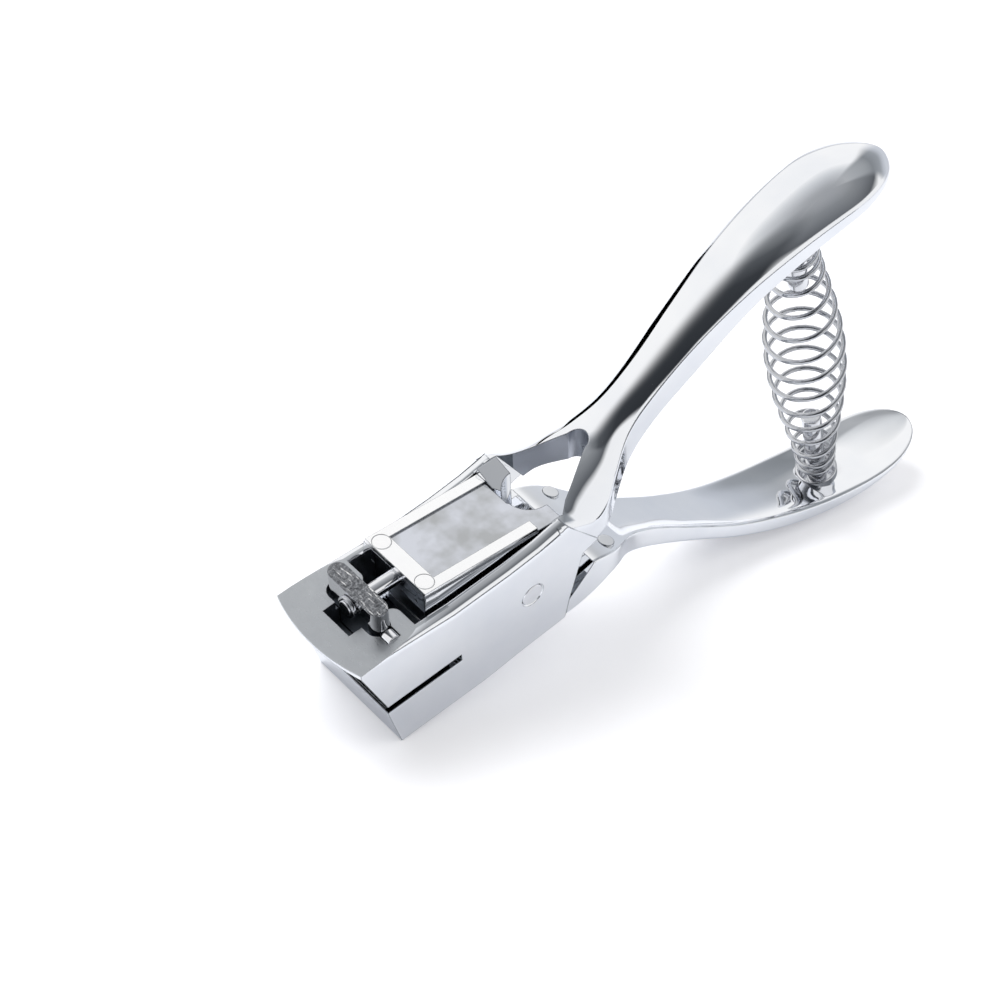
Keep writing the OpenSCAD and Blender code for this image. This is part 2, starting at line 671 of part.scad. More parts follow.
// Tube of six sides along a path, its rings square to the path
module tube(p, d) {
    rings = [for (i = [0 : len(p) - 1])
        let (t = i == 0 || i >= len(p) - 2 || i == 1 ? [0, 0, 1] : heading(p, i),
            out = unit([p[i][0], p[i][1], 0]), side = unit(cross(t, out)), up = cross(side, t))
        [for (k = [0 : 5]) p[i] + d / 2 * (up * cos(60 * k) + side * sin(60 * k))]];
    loft(rings, true);
}

module return_spring() {
    color(steel) on_spring() tube(spring_path, wire_d);
}

// Least gap between neighbouring turns, measured on points of the path one turn apart
turn_gaps = [for (i = [0 : coil_steps - coil_rings]) norm(coil_points[i + coil_rings] - coil_points[i]) - wire_d];
echo(least_spring_gap = min(turn_gaps), rest_pitch = rest_pitch, rest_lift = rest_lift);
echo(front_x = front_x, back_x = back_x, spring_l = spring_l, spring_lean = spring_lean);

stand() frame();
stand() upper_spring_post();
stand() upper_spring_seat();
stand() die_plate();
stand() die_screws();
stand() guide_pin();
stand() pivot_pin();
stand() pivot_washers();
stand() punch();
stand() lever();
stand() lever_plate();
stand() plate_rivets();
stand() drive_pin();
stand() drive_pin_ring();
stand() lower_spring_post();
stand() lower_spring_collar();
stand() return_spring();
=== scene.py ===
"""Looks of a hand slot punch: chromed castings, steel pins, a barrel spring.

The castings are modelled in the tool's own frame, in millimetres: x runs back from the nose, y across,
z up from the middle of the throat with the head level. STAND then sets them down in the row frame,
in metres, on the heel of the jaw and the belly of the lower handle.
"""

import math

import bmesh
import bpy
from mathutils import Matrix, Vector


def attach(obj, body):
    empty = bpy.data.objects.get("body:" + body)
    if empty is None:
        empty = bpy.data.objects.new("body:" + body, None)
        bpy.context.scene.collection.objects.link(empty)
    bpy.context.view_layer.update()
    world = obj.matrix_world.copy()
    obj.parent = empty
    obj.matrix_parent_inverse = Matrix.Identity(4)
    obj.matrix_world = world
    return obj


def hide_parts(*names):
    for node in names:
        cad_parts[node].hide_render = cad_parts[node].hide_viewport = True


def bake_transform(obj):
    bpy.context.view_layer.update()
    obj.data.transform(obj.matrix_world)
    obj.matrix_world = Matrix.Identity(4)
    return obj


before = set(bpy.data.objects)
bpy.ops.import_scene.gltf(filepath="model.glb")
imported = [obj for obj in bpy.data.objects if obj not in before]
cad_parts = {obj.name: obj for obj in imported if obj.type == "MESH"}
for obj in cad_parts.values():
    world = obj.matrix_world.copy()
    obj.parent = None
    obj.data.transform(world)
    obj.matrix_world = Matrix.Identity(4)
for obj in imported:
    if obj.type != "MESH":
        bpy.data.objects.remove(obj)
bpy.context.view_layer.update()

REST_PITCH = math.radians(18.2634)  # how far the head tips down when the tool stands on a table
STAND = Matrix.Translation((-0.080531, 0, 0.00952)) @ Matrix.Rotation(-REST_PITCH, 4, "Y") @ Matrix.Scale(0.001, 4)

HALF_W = 12.4  # half the width of head, walls and flanks
INNER_W = 9.6  # half the width between the walls
CORE_W = 9.1  # half the width of the lever between the walls
HEAD_TOP, HEAD_L = 16, 14.8  # height of the head's flat top, length of the solid head
THROAT_L, THROAT_HALF = 23.2, 0.9  # depth of the throat, half its height
PUNCH_X = 9.8
ROD_Z, ROD_D = 18.3, 3.2  # the drive pin, where it crosses the punch
PIVOT_X, PIVOT_Z, PIVOT_D = 41.2, 3.4, 4.8
SPRING_FOOT = (132, 0, -45.0472)
SPRING_LEAN = math.radians(8.10277)
SPRING_L = 85.8466
POST_HOLE = 4.3
RUN_OUT = 40  # cutters run this far, out of the piece

# along the lever's arms from the pivot, up the drive pin from the punch, and up the spring from its foot
ON_ARMS = Matrix.Translation((PIVOT_X, 0, PIVOT_Z)) @ Matrix.Rotation(math.radians(8.1), 4, "Y")
ON_ROD = Matrix.Translation((PUNCH_X, 0, ROD_Z)) @ Matrix.Rotation(math.radians(4.5 - 90), 4, "Y")
ON_SPRING = Matrix.Translation(SPRING_FOOT) @ Matrix.Rotation(-SPRING_LEAN, 4, "Y")


# Modelling helpers


def alone(obj=None):
    """Nothing is selected but obj."""
    if bpy.context.mode != "OBJECT":
        bpy.ops.object.mode_set(mode="OBJECT")
    bpy.ops.object.select_all(action="DESELECT")
    if obj:
        obj.select_set(True)
        bpy.context.view_layer.objects.active = obj


def apply_all(obj):
    """Moves an object's place, turn and size into its mesh."""
    alone(obj)
    bpy.ops.object.transform_apply(location=True, rotation=True, scale=True)
    return obj


def outward(obj):
    """Turns the faces of a closed solid outwards, judged by its signed volume."""
    alone(obj)
    bpy.ops.object.mode_set(mode="EDIT")
    bpy.ops.mesh.select_all(action="SELECT")
    bpy.ops.mesh.normals_make_consistent(inside=False)
    shape = bmesh.from_edit_mesh(obj.data)
    if shape.calc_volume(signed=True) < 0:
        bpy.ops.mesh.flip_normals()
    bpy.ops.object.mode_set(mode="OBJECT")
    return obj


def extruded(points, step):
    """A flat outline, given as points in space, pulled along step into a solid."""
    alone()
    bpy.ops.mesh.primitive_circle_add(vertices=len(points), radius=1, fill_type="NGON")
    obj = bpy.context.object
    for vertex, point in zip(obj.data.vertices, points):
        vertex.co = point
    bpy.ops.object.mode_set(mode="EDIT")
    bpy.ops.mesh.select_all(action="SELECT")
    bpy.ops.mesh.extrude_region_move(TRANSFORM_OT_translate={"value": step})
    return outward(obj)


def side_plate(outline, half_w):
    """A side view outline in x and z, half_w thick to either side."""
    return extruded([(x, -half_w, z) for x, z in outline], (0, 2 * half_w, 0))


def tower(outline, z0, z1):
    """A plan outline in x and y, from height z0 to z1."""
    return extruded([(x, y, z0) for x, y in outline], (0, 0, z1 - z0))


def block(x0, x1, y0, y1, z0, z1):
    """A box between its corners."""
    alone()
    middle = ((x0 + x1) / 2, (y0 + y1) / 2, (z0 + z1) / 2)
    bpy.ops.mesh.primitive_cube_add(size=1, location=middle, scale=(x1 - x0, y1 - y0, z1 - z0))
    return apply_all(bpy.context.object)


def bar(start, end, d, sides=48, d_end=None):
    """A round bar, or a cone where d_end differs."""
    alone()
    start, end = Vector(start), Vector(end)
    run = end - start
    bpy.ops.mesh.primitive_cone_add(
        vertices=sides, radius1=d / 2, radius2=(d if d_end is None else d_end) / 2, depth=run.length,
        location=(start + end) / 2, rotation=run.to_track_quat("Z", "Y").to_euler(),
    )
    return apply_all(bpy.context.object)


def slot_outline(cx, length, thick, steps=20):
    """Plan of a slot with round ends that lies across the tool."""
    r, reach = thick / 2, (length - thick) / 2
    arc = [math.pi * i / steps for i in range(steps + 1)]
    return [(cx + r * math.cos(a), reach + r * math.sin(a)) for a in arc] + [
        (cx - r * math.cos(a), -reach - r * math.sin(a)) for a in arc
    ]


def across(x, z, reach, d, sides):
    """A round bar across the tool, reach to either side."""
    return bar((x, -reach, z), (x, reach, z), d, sides)


def placed(matrix, *objs):
    """Sets pieces that were drawn along an axis of the tool down in their place."""
    for obj in objs:
        obj.data.transform(matrix)
    return objs


def combine(obj, *others, operation="DIFFERENCE"):
    """Cuts the others from obj, or joins them to it, one after the other."""
    for other in others:
        alone(obj)
        modifier = obj.modifiers.new("combine", "BOOLEAN")
        modifier.operation, modifier.solver, modifier.object = operation, "EXACT", other
        bpy.ops.object.modifier_apply(modifier=modifier.name)
        bpy.data.objects.remove(other)
    return obj


def round_edges(obj, width, weight_of, segments=4):
    """Rounds the edges for which weight_of(middle, direction) is above 0, by that share of width."""
    weights = obj.data.attributes.new("bevel_weight_edge", "FLOAT", "EDGE")
    for edge in obj.data.edges:
        a, b = (obj.data.vertices[i].co for i in edge.vertices)
        weights.data[edge.index].value = weight_of((a + b) / 2, (b - a).normalized())
    alone(obj)
    modifier = obj.modifiers.new("round", "BEVEL")
    modifier.width, modifier.segments, modifier.limit_method = width, segments, "WEIGHT"
    modifier.use_clamp_overlap = False
    bpy.ops.object.modifier_apply(modifier=modifier.name)
    return obj


def smooth(obj, degrees=28):
    """Smooth shading up to an angle, with the large flat faces kept flat."""
    alone(obj)
    bpy.ops.object.shade_smooth_by_angle(angle=math.radians(degrees))
    modifier = obj.modifiers.new("keep flats flat", "WEIGHTED_NORMAL")
    modifier.mode, modifier.weight, modifier.keep_sharp = "FACE_AREA", 50, True
    bpy.ops.object.modifier_apply(modifier=modifier.name)
    return obj


def finish_faces(obj, index, chosen):
    """Gives the faces for which chosen(centre, normal) holds the material of that index."""
    for face in obj.data.polygons:
        if chosen(face.center, face.normal):
            face.material_index = index


def finish_piece(obj, name, body, nodes, slot, *materials):
    """Names a piece, stands it in the row frame, hides the CAD nodes it stands for, and gives it its body and
    materials; slot is not used.
    """
    obj.name = obj.data.name = name
    obj.data.transform(STAND)
    for material in materials:
        obj.data.materials.append(material)
    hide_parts(*nodes)
    if body:
        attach(obj, body)
    return obj


# Handles: stations x, height of the edge, half width, crown, depth of the side, hollow of the inner face

UPPER = [
    (46, 16.2, 12.35, 0.2, 4, 0), (50, 16.4, 12.35, 1.8, 4, 0), (54, 13.6, 12.35, 5.6, 7, 3.5),
    (58, 11.5, 12.1, 8.3, 5.2, 6), (62, 12.4, 11, 8, 6, 6.2), (66, 15.2, 8.6, 6, 7.6, 5), (72, 20, 5.7, 4, 8, 2.2),
    (79, 24.9, 5, 3.1, 7.4, 0.8), (90, 32.4, 5.6, 3, 7.6, 0.8), (102, 38.9, 6.9, 3.3, 5.6, 0.8),
    (114, 42.8, 8.04, 3.4, 4.4, 0.8), (126, 44.8, 8.8, 3.4, 3.4, 0.8), (136, 44.7, 8.8, 3.4, 2.8, 0.8),
    (144, 43.3, 8.8, 3.4, 2.4, 0.8),
]
LOWER = [
    (44, 1, 12.35, 0.3, 9.8, 0.8), (50, 0.6, 12.35, 0.4, 11.2, 0.8), (57, -0.4, 12.35, 0.6, 9.2, 0.8),
    (61, -2.1, 11.9, 0.9, 6.9, 0.8), (65, -4.6, 10.6, 1.3, 5.3, 0.8), (69, -7.6, 8.3, 1.8, 5.1, 0.8),
    (74, -11.6, 6.3, 2.2, 5.6, 0.8), (80, -16.3, 5.6, 2.5, 5.4, 0.8), (90, -24.4, 5.9, 2.7, 4.3, 0.8),
    (102, -33.2, 6.928, 3, 3.9, 0.8), (114, -39.7, 7.948, 3.2, 3.9, 0.8), (126, -44.7, 8.7, 3.4, 3.5, 0.8),
    (138, -48.2, 8.9, 3.4, 2.8, 0.8), (148, -49.6, 8.9, 3.1, 1.4, 0.8), (160, -50.6, 8.9, 2.8, 0.8, 0.8),
]
TAIL_ROUND = 16  # length of the rounded tail
TAIL_THIN = 0.45  # share of the side's depth that is left at the tip
LIP = 0.86  # share of the half width that the hollow of the inner face takes
CROWN_POWER, HOLLOW_POWER = 2.2, 4  # the higher, the flatter in the middle
CROWN_STEPS, INNER_STEPS, TAIL_STEPS = 40, 24, 22


def mix(a, b, t):
    return a + (b - a) * t


def ease(t):
    """0 to 1, with a gentle start and end."""
    t = min(1, max(0, t))
    return t * t * (3 - 2 * t)


def along(stations, column, x):
    """Smooth curve through one column of the stations."""
    i = max([0] + [k for k in range(len(stations) - 1) if stations[k][0] <= x])
    a, b = stations[i], stations[i + 1]
    d = b[0] - a[0]
    u = (x - a[0]) / d

    def slope(k):
        before, after = stations[max(0, k - 1)], stations[min(len(stations) - 1, k + 1)]
        return (after[column] - before[column]) / (after[0] - before[0])

    return (
        a[column] * (2 * u**3 - 3 * u**2 + 1) + b[column] * (3 * u**2 - 2 * u**3)
        + slope(i) * d * (u**3 - 2 * u**2 + u) + slope(i + 1) * d * (u**3 - u**2)
    )


def corner(start, tip, end, steps=4):
    """Rounded corner between two points, the end left out."""
    path = []
    for i in range(steps):
        t = i / steps
        path.append(tuple(mix(mix(s, c, t), mix(c, e, t), t) for s, c, e in zip(start, tip, end)))
    return path


def section(stations, x, side, hollow_from, fillet):
    """Closed section of a handle at x, as points with the same count everywhere. side is 1 where the crown
    faces up and -1 where it faces down."""
    tail = stations[-1][0]
    u = max(0, (x - tail + TAIL_ROUND) / TAIL_ROUND)
    r = math.sqrt(max(0, 1 - u * u))
    w, edge = max(along(stations, 2, x) * r, 1e-4), along(stations, 1, x)
    rise, deep = along(stations, 3, x) * r**0.8, along(stations, 4, x) * mix(TAIL_THIN, 1, r)
    hollow = along(stations, 5, x) * ease((x - hollow_from) / 1.2) * r
    crown_edge, inner_edge = (edge, edge - deep) if side > 0 else (edge - deep, edge)
    f = min(fillet, 0.35 * w, 0.35 * deep)
    reach = 1 - f / w

    def top(t):
        return (x, w * t, crown_edge + side * rise * (1 - abs(t) ** CROWN_POWER))

    def inner(k):
        return (x, w * k, inner_edge + side * hollow * max(0, 1 - abs(k / LIP) ** HOLLOW_POWER))

    points = [top(reach * math.cos(math.pi * i / CROWN_STEPS)) for i in range(CROWN_STEPS)]
    low, high = crown_edge - side * f, inner_edge + side * f
    points += corner(top(-reach), top(-1), (x, -w, low))
    points += [(x, -w, mix(low, high, t)) for t in (0, 0.33, 0.67)]
    points += corner((x, -w, high), inner(-1), inner(-reach))
    points += [inner(-reach * math.cos(math.pi * i / INNER_STEPS)) for i in range(INNER_STEPS)]
    points += corner(inner(reach), inner(1), (x, w, high))
    points += [(x, w, mix(high, low, t)) for t in (0, 0.33, 0.67)]
    points += corner((x, w, low), top(1), top(reach))
    return points


def handle(stations, side, start, hollow_from, fillet_of, step=0.8):
    """A lofted handle from start to its tail, with a section at each step and closer ones round the tail."""
    body = stations[-1][0] - TAIL_ROUND
    count = round((body - start) / step)
    xs = [mix(start, body, i / count) for i in range(count)]
    xs += [body + TAIL_ROUND * math.sin(math.pi / 2 * i / TAIL_STEPS) for i in range(TAIL_STEPS + 1)]
    rings = [section(stations, x, side, hollow_from, fillet_of(x)) for x in xs]
    n = len(rings[0])
    alone()
    bpy.ops.mesh.primitive_grid_add(x_subdivisions=n, y_subdivisions=len(rings) - 1, size=2)
    obj = bpy.context.object
    for row, ring in enumerate(rings):
        for k in range(n + 1):
            obj.data.vertices[row * (n + 1) + k].co = ring[k % n]
    bpy.ops.object.mode_set(mode="EDIT")
    bpy.ops.mesh.select_all(action="SELECT")
    bpy.ops.mesh.remove_doubles(threshold=0.0005)
    bpy.ops.mesh.select_all(action="SELECT")
    bpy.ops.mesh.fill_holes(sides=0)
    return outward(obj)


# Materials


def colour(code):
    """sRGB hex to linear."""
    parts = [int(code[i : i + 2], 16) / 255 for i in (1, 3, 5)]
    return tuple(c / 12.92 if c <= 0.04045 else ((c + 0.055) / 1.055) ** 2.4 for c in parts) + (1,)


def add(tree, kind, inputs=None, **settings):
    """Adds a node, sets its properties, and sets or links its inputs."""
    made = tree.nodes.new(kind)
    for name, value in settings.items():
        setattr(made, name, value)
    for name, value in (inputs or {}).items():
        if isinstance(value, bpy.types.NodeSocket):
            tree.links.new(value, made.inputs[name])
        else:
            made.inputs[name].default_value = value
    return made


def new_material(name):
    material = bpy.data.materials.new(name)
    material.use_nodes = True
    material.node_tree.nodes.clear()
    return material, material.node_tree


PLATE_EDGE, GROUND_EDGE = 0.00032, 0.00018  # how wide the rounded edge of a casting and of a steel part is, in metres, and the painted line along it


def painted_edge_line(tree, radius):
    """A rounded normal for the edges, and a mask for a thin line along them, 0 to 1, where the materials lay painted
    shade, and on satin chrome and tool steel a painted highlight.
    """
    edges = add(tree, "ShaderNodeBevel", {"Radius": radius}, samples=6)
    true = add(tree, "ShaderNodeNewGeometry")
    turn = add(tree, "ShaderNodeVectorMath", {0: edges.outputs["Normal"], 1: true.outputs["Normal"]},
               operation="DOT_PRODUCT")
    painted_edge_mask = add(tree, "ShaderNodeMapRange", {"Value": turn.outputs["Value"], "From Min": 0.985, "From Max": 0.9,
                                            "To Min": 0, "To Max": 1})
    return edges.outputs["Normal"], painted_edge_mask.outputs["Result"]


def bright_chrome(name, light, dark, wave, haze, patches=60):
    """Bright chromium plate on a zinc casting: a blue-white mirror that waves a little, in swells of 9 mm, where
    the polishing wheel has worn the casting uneven, with a faint haze of wiping marks, 3 mm long and 0.4 mm
    wide, and a thin dark line of painted shade along the edges. Light and dark mix in cloudy patches, given as
    a number per metre. As cast, unpolished, it is duller, cloudier and waves more."""
    material, tree = new_material(name)
    place = add(tree, "ShaderNodeTexCoord").outputs["Object"]
    swell = add(tree, "ShaderNodeTexNoise", {"Vector": place, "Scale": 110, "Detail": 1, "Roughness": 0.4})
    cloud = add(tree, "ShaderNodeTexNoise", {"Vector": place, "Scale": patches, "Detail": 3, "Roughness": 0.6})
    shown = add(tree, "ShaderNodeMapRange", {"Value": cloud.outputs["Fac"], "From Min": 0.35, "From Max": 0.65})
    wiped = add(tree, "ShaderNodeMapping", {"Vector": place, "Scale": (300, 2600, 2600)})
    marks = add(tree, "ShaderNodeTexNoise", {"Vector": wiped.outputs["Vector"], "Scale": 1, "Detail": 2})
    rough = add(tree, "ShaderNodeMapRange", {"Value": cloud.outputs["Fac"], "From Min": 0.35, "From Max": 0.7,
                                             "To Min": haze * 0.5, "To Max": haze * 1.3})
    tint = add(tree, "ShaderNodeMix", {"Factor": shown.outputs["Result"], "A": colour(light), "B": colour(dark)},
               data_type="RGBA")
    rounded, painted_edge_mask = painted_edge_line(tree, PLATE_EDGE)
    # 70757C along the edges is painted shade, a thin dark line
    with_painted_edge = add(tree, "ShaderNodeMix", {"Factor": painted_edge_mask, "A": tint.outputs["Result"], "B": colour("#70757C")},
                data_type="RGBA")
    fine = add(tree, "ShaderNodeBump", {"Height": marks.outputs["Fac"], "Strength": 0.02, "Distance": 0.00002,
                                        "Normal": rounded})
    slow = add(tree, "ShaderNodeBump", {"Height": swell.outputs["Fac"], "Strength": wave, "Distance": 0.0002,
                                        "Normal": fine.outputs["Normal"]})
    shader = add(tree, "ShaderNodeBsdfPrincipled", {"Base Color": with_painted_edge.outputs["Result"], "Metallic": 1,
                                                    "Roughness": rough.outputs["Result"],
                                                    "Normal": slow.outputs["Normal"]})
    add(tree, "ShaderNodeOutputMaterial", {"Surface": shader.outputs["BSDF"]})
    return material


def ground_steel(name, light, dark, roughness, grain, depth, stretch=(1, 1, 1), edge="#5C6066"):
    """Machined steel: grinding or turning leaves fine lines, which spread the reflection along one way, and
    handling leaves faint stains, 4 mm across. grain is the number of lines per metre, 0.3 to 0.7 mm apart,
    drawn coarser than the real 0.05 mm so that they show. stretch draws them out along the lever."""
    material, tree = new_material(name)
    place = add(tree, "ShaderNodeTexCoord").outputs["Object"]
    along_lines = add(tree, "ShaderNodeMapping", {"Vector": place, "Scale": stretch})
    lines = add(tree, "ShaderNodeTexNoise", {"Vector": along_lines.outputs["Vector"], "Scale": grain, "Detail": 4,
                                             "Roughness": 0.7})
    stain = add(tree, "ShaderNodeTexNoise", {"Vector": place, "Scale": 260, "Detail": 3})
    tint = add(tree, "ShaderNodeMix", {"Factor": stain.outputs["Fac"], "A": colour(light), "B": colour(dark)},
               data_type="RGBA")
    rounded, painted_edge_mask = painted_edge_line(tree, GROUND_EDGE)
    # the edge colour is painted along the edges: a dark one as painted shade, a light one as painted highlight
    with_painted_edge = add(tree, "ShaderNodeMix", {"Factor": painted_edge_mask, "A": tint.outputs["Result"], "B": colour(edge)},
                data_type="RGBA")
    rough = add(tree, "ShaderNodeMapRange", {"Value": lines.outputs["Fac"], "From Min": 0.3, "From Max": 0.7,
                                             "To Min": roughness * 0.7, "To Max": roughness * 1.3})
    bump = add(tree, "ShaderNodeBump", {"Height": lines.outputs["Fac"], "Strength": depth, "Distance": 0.00005,
                                        "Normal": rounded})
    shader = add(tree, "ShaderNodeBsdfPrincipled", {"Base Color": with_painted_edge.outputs["Result"], "Metallic": 1,
                                                    "Roughness": rough.outputs["Result"],
                                                    "Normal": bump.outputs["Normal"]})
    add(tree, "ShaderNodeOutputMaterial", {"Surface": shader.outputs["BSDF"]})
    return material


def broken_steel(name):
    """The punch's top, cropped and struck: grey steel with pits 0.4 mm apart, its crushed ridges painted lighter as
    painted highlight, with painted glints along scratches 3 mm long."""
    material, tree = new_material(name)
    place = add(tree, "ShaderNodeTexCoord").outputs["Object"]
    pits = add(tree, "ShaderNodeTexVoronoi", {"Vector": place, "Scale": 2600, "Randomness": 1})
    crush = add(tree, "ShaderNodeTexNoise", {"Vector": place, "Scale": 1700, "Detail": 5, "Roughness": 0.8})
    drawn = add(tree, "ShaderNodeMapping", {"Vector": place, "Rotation": (0, 0, 0.35), "Scale": (2600, 300, 1400)})
    scratches = add(tree, "ShaderNodeTexNoise", {"Vector": drawn.outputs["Vector"], "Scale": 1, "Detail": 2})
    # painted glints: near-white lines laid into the colour like lit scratches
    painted_glint = add(tree, "ShaderNodeMapRange", {"Value": scratches.outputs["Fac"], "From Min": 0.6, "From Max": 0.68})
    both = add(tree, "ShaderNodeMath", {0: pits.outputs["Distance"], 1: crush.outputs["Fac"]}, operation="ADD")
    # grey tone that varies at random, lighter on the crushed ridges as painted highlight
    tone_and_ridge_highlight = add(tree, "ShaderNodeMapRange", {"Value": crush.outputs["Fac"], "From Min": 0.38, "From Max": 0.62})
    tint = add(tree, "ShaderNodeMix", {"Factor": tone_and_ridge_highlight.outputs["Result"], "A": colour("#4A4C50"),
                                       "B": colour("#ACAEB2")}, data_type="RGBA")
    with_painted_glints = add(tree, "ShaderNodeMix", {"Factor": painted_glint.outputs["Result"], "A": tint.outputs["Result"],
                                      "B": colour("#FAFAFA")}, data_type="RGBA")
    bump = add(tree, "ShaderNodeBump", {"Height": both.outputs["Value"], "Strength": 0.6, "Distance": 0.00025})
    shader = add(tree, "ShaderNodeBsdfPrincipled", {"Base Color": with_painted_glints.outputs["Result"], "Metallic": 1,
                                                    "Roughness": 0.25, "Normal": bump.outputs["Normal"]})
    add(tree, "ShaderNodeOutputMaterial", {"Surface": shader.outputs["BSDF"]})
    return material


# chrome on the castings: polished outside, as plated where no wheel reaches, and a greyer, hazier chrome with
# painted shade inside the window
chrome = bright_chrome("bright_chrome_plate", "#F5F6F8", "#EEF0F4", wave=0.05, haze=0.03)
cast_chrome = bright_chrome("unpolished_chrome_plate", "#D3D6DE", "#B4B6B8", wave=0.25, haze=0.12, patches=130)
window_shade_chrome = bright_chrome("window_chrome_painted_shade", "#C6CAD3", "#B6BAC3", wave=0.1, haze=0.42)
# painted shade in the recesses, a rough slate grey; an even satin grey on the head's top, with a painted highlight
# along its edges
recess_shade_chrome = ground_steel("shaded_chrome_recess", "#8E949C", "#6C727A", 0.45, 1500, 0.2)
# its light edge colour is a painted highlight along the head's edges
satin_chrome = ground_steel("satin_chrome_head", "#C3C6C9", "#B9BCC0", 0.34, 3200, 0.06, (1, 0.2, 1), edge="#FAFAFB")
# steel: flat polished plate, hardened and ground punch and die, turned pins and screws, drawn and plated wire
plate_steel = ground_steel("polished_plate_steel", "#FFFFFF", "#FAFAFB", 0.12, 2500, 0.008, (1, 0.15, 1))
# its light edge colour is a painted highlight along the edges of punch and die
tool_steel = ground_steel("hardened_tool_steel", "#E2E3E5", "#C9CACD", 0.1, 3000, 0.08, edge="#F8F8F8")
pin_steel = ground_steel("turned_pin_steel", "#F0F0F2", "#E2E3E6", 0.08, 3500, 0.06)
wire_steel = ground_steel("nickel_plated_wire", "#D4D5D8", "#B4B6BA", 0.05, 3000, 0.02)
punch_top = broken_steel("struck_punch_top")


# Frame casting


def frame_body():
    """Head with its bowed nose, lower jaw, side walls with rounded rails, and the floor between them."""
    outline = [(-2.5, HEAD_TOP), (-2.5, 15.4), (0, 14.8), (5.5, 0), (5.34, 0), (5, -0.9), (7.5, -12.5),
               (28.9, -12.5), (37.4, -11.7), (49.1, -11), (50.2, -6.4), (54, 5.2), (58, 6.4), (50, 17.2),
               (43.4, HEAD_TOP), (36, 15.5), (22.4, 15.4), (HEAD_L, HEAD_TOP)]
    body = side_plate(outline, HALF_W)
    bow = 2
    bow_r = (HALF_W**2 + bow**2) / (2 * bow)
    combine(body, bar((bow_r - bow, 0, -40), (bow_r - bow, 0, 60), 2 * bow_r, 360), operation="INTERSECT")
    channel = side_plate([(26, 60), (26, -10.5), (61.1, -10.5), (64, 6.4), (56.3, 8.8), (35.1, 45.6)], INNER_W)
    front_room = side_plate([(HEAD_L, 60), (HEAD_L, -0.9), (THROAT_L, -0.9), (THROAT_L, 2), (26.2, 2), (26.2, 60)],
                            INNER_W)
    combine(body, channel, front_room)

    def rail(middle, direction):
        """The rails are rounded fully outside and a little inside."""
        if middle.z < 15 or not 15 < middle.x < 52 or abs(direction.x) < 0.8:
            return 0
        return 1 if abs(middle.y) > 11 else 0.28

    return round_edges(body, 2.1, rail, 7)


def upper_fork():
    """Upper handle and its two branches round the window, cut back between the walls for the lever."""
    fork = handle(UPPER, 1, 48.6, 0, lambda x: mix(1.3, 0.55, ease((x - 50) / 8)))
    bend, reach, r = (54, 7.6), 63.6, 2.4
    arc = [math.pi / 2 * (1 - i / 16) for i in range(33)]
    half = [(50.9, 9.3), (51.5, INNER_W), bend]
    back = [(reach + r * math.cos(a), r * math.sin(a)) for a in arc]
    window = tower(half + back + [(x, -y) for x, y in reversed(half)], -20, 60)
    step = [(40, 60), (40, 5.9), (64, 5.9), (64, 6.4), (56.3, 8.8), (51.2, 17.65), (51.2, 60)]
    return combine(fork, side_plate(step, INNER_W + 0.02), window)


def frame_cutters():
    """What is milled, drilled or cored out of the frame."""
    top, throat_floor, guide_z, guide_d = RUN_OUT, 9.2, 15.1, 3.2
    cutters = [
        block(-4, THROAT_L, -14, 14, -THROAT_HALF, THROAT_HALF),
        # punch guide with its lead-in, blade's slot, and the room in front for the drive pin's end
        tower(slot_outline(PUNCH_X, 15.7, 4.2), 3.6, top),
        tower(slot_outline(PUNCH_X - 0.3, 16.2, 4.9), 13.7, top),
        tower(slot_outline(PUNCH_X, 15.2, 3.2), -0.5, 9),
        block(4.1, 16, -3.9, 3.9, throat_floor, top),
        # way out for the chips, and the die plate's seat
        tower(slot_outline(PUNCH_X, 16.6, 4.6), -RUN_OUT, 0),
        block(6.9, 17.9, -9.2, 9.2, -4.4, -0.4),
        # groove of the short pin beside the punch
        bar((PUNCH_X, -6.5, guide_z), (PUNCH_X, -10.15, guide_z), guide_d, 40),
        block(8.22, 11.38, -10.1, -6.6, guide_z, top),
        # pivot's bore and the thin groove round its ends
        across(PIVOT_X, PIVOT_Z, 20, PIVOT_D, 64),
        bar((PIVOT_X, -11.9, PIVOT_Z), (PIVOT_X, -12.7, PIVOT_Z), 4.5, 70, 6.1),
        bar((PIVOT_X, 11.9, PIVOT_Z), (PIVOT_X, 12.7, PIVOT_Z), 4.5, 70, 6.1),
    ]
    for side in (-1, 1):
        # die screw: its head's seat and its bore
        cutters.append(bar((15.3, side * 5.5, -14), (15.3, side * 5.5, -9.7), 5.4, 40))
        cutters.append(bar((15.3, side * 5.5, -14), (15.3, side * 5.5, -1.5), 3, 32))
        # rounded ear that widens the drive pin's room behind the punch
        quarter = [math.pi / 2 * i / 10 for i in range(11)]
        ear = [(15.4, side * 5.9), (15.4, side * 3.4), (12.81, side * 3.4)] + [
            (12.81 + 2 * math.sin(a), side * (5.9 - 2 * math.cos(a))) for a in quarter]
        cutters.append(tower(ear, throat_floor, top))
    hole = bar((0, 0, SPRING_L), (0, 0, SPRING_L + 3.4), POST_HOLE, 48)
    flat = bar((0, 0, SPRING_L - 4), (0, 0, SPRING_L + 1), 10, 64)
    return cutters + list(placed(ON_SPRING, hole, flat))


def on_head_top(centre, normal):
    return centre.z > 15.3 and centre.x < 23.5 and normal.z > 0.96


def in_recess(centre, normal):
    """The rooms round the punch and in front of the lever, but not the throat's faces."""
    under_top = -4.5 < centre.z < (15.9 if centre.x < 18 else 15)
    in_throat = abs(normal.z) > 0.9 and abs(centre.z) < 1
    return under_top and 2 < centre.x < 27 and abs(centre.y) < 9.65 and not in_throat


